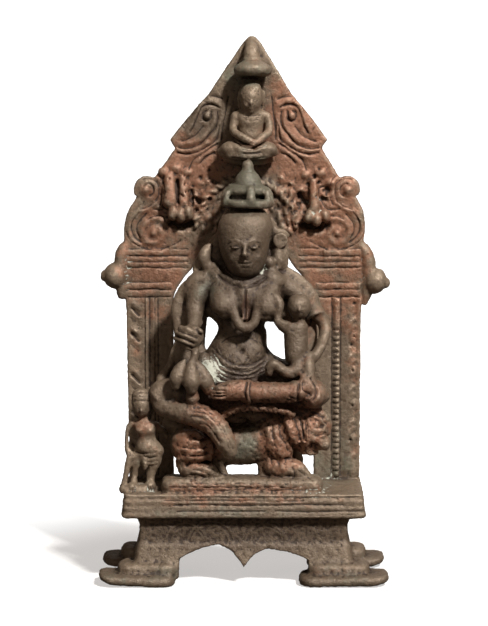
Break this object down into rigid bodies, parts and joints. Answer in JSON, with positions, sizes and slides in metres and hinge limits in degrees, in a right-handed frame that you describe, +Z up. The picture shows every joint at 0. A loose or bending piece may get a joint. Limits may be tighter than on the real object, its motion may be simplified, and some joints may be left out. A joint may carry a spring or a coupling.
{
  "type": "goddess shrine figure",
  "caption": "Small cast copper-alloy house shrine: a goddess seated on a lion before an arched, pointed back frame, on a stepped stand with out-turned feet.",
  "frame": {"origin": "middle of the outer box across and front to back, on the surface the feet stand on", "axes": "+Z up, -Y to the front where the goddess looks, +X to the viewer's right"},
  "size_m": [0.077, 0.0358, 0.14],
  "materials": {
    "patinated_bronze": "worn cast copper alloy, grey-brown on the raised parts, red-brown and dull green in the hollows, satin"
  },
  "bodies": {
    "root": {"goddess_shrine": "patinated_bronze"}
  },
  "joints": []
}
